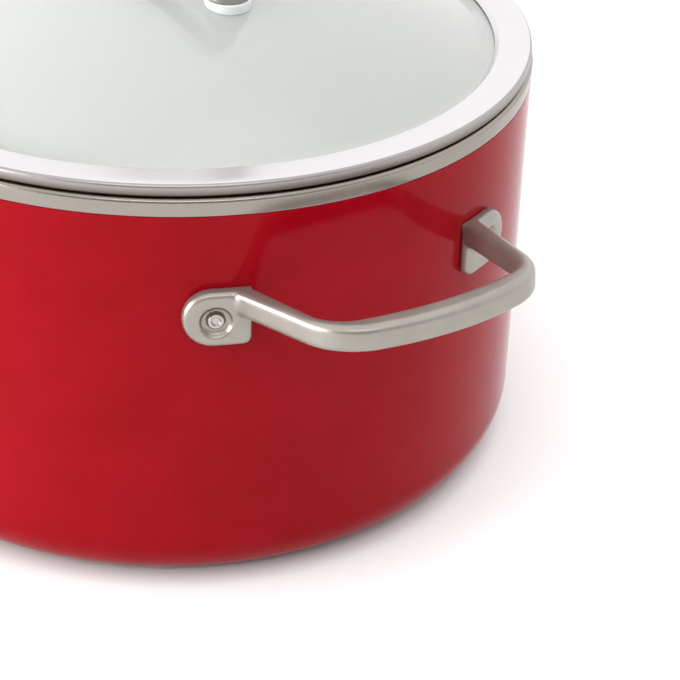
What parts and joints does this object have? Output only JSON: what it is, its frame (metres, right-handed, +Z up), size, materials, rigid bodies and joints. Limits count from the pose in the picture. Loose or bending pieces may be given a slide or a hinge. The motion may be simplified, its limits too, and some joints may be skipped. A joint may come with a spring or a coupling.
{
  "type": "stock pot",
  "caption": "Enamelled steel stock pot with a stainless rim band, riveted cast loop handles and a domed glass lid in a wide stainless ring.",
  "frame": {"origin": "middle of the base, on the surface that the pot stands on", "axes": "+Z up along the pot's axis, X through the two side handles, handle_right at +X"},
  "size_m": [0.3362, 0.2478, 0.2014],
  "materials": {
    "enamel": "gloss red enamel fired on steel, pale enamel inside",
    "rim_steel": "satin rolled stainless",
    "cast_steel": "satin cast stainless, bead blasted",
    "rivet_steel": "satin stainless",
    "ring_steel": "polished stainless, spun",
    "fastener_steel": "plain stainless",
    "lid_glass": "clear tempered glass, faint green",
    "silicone": "matt translucent silicone"
  },
  "bodies": {
    "pot": {"pot_shell": "enamel", "rim_band": "rim_steel", "handle_right": "cast_steel", "handle_left": "cast_steel", "rivet_right_front": "rivet_steel", "rivet_right_back": "rivet_steel", "rivet_left_front": "rivet_steel", "rivet_left_back": "rivet_steel"},
    "lid": {"lid_glass": "lid_glass", "lid_ring": "ring_steel", "glass_seal": "silicone", "lid_handle": "cast_steel", "lid_grommet_left": "silicone", "lid_grommet_right": "silicone", "lid_washer_left": "fastener_steel", "lid_washer_right": "fastener_steel", "lid_screw_left": "fastener_steel", "lid_screw_right": "fastener_steel", "steam_vent": "fastener_steel"}
  },
  "joints": [
    {"name": "lid_lift", "type": "slide", "parent": "pot", "child": "lid", "axis": [0, 0, 1], "range_m": [0, 0.15]}
  ]
}
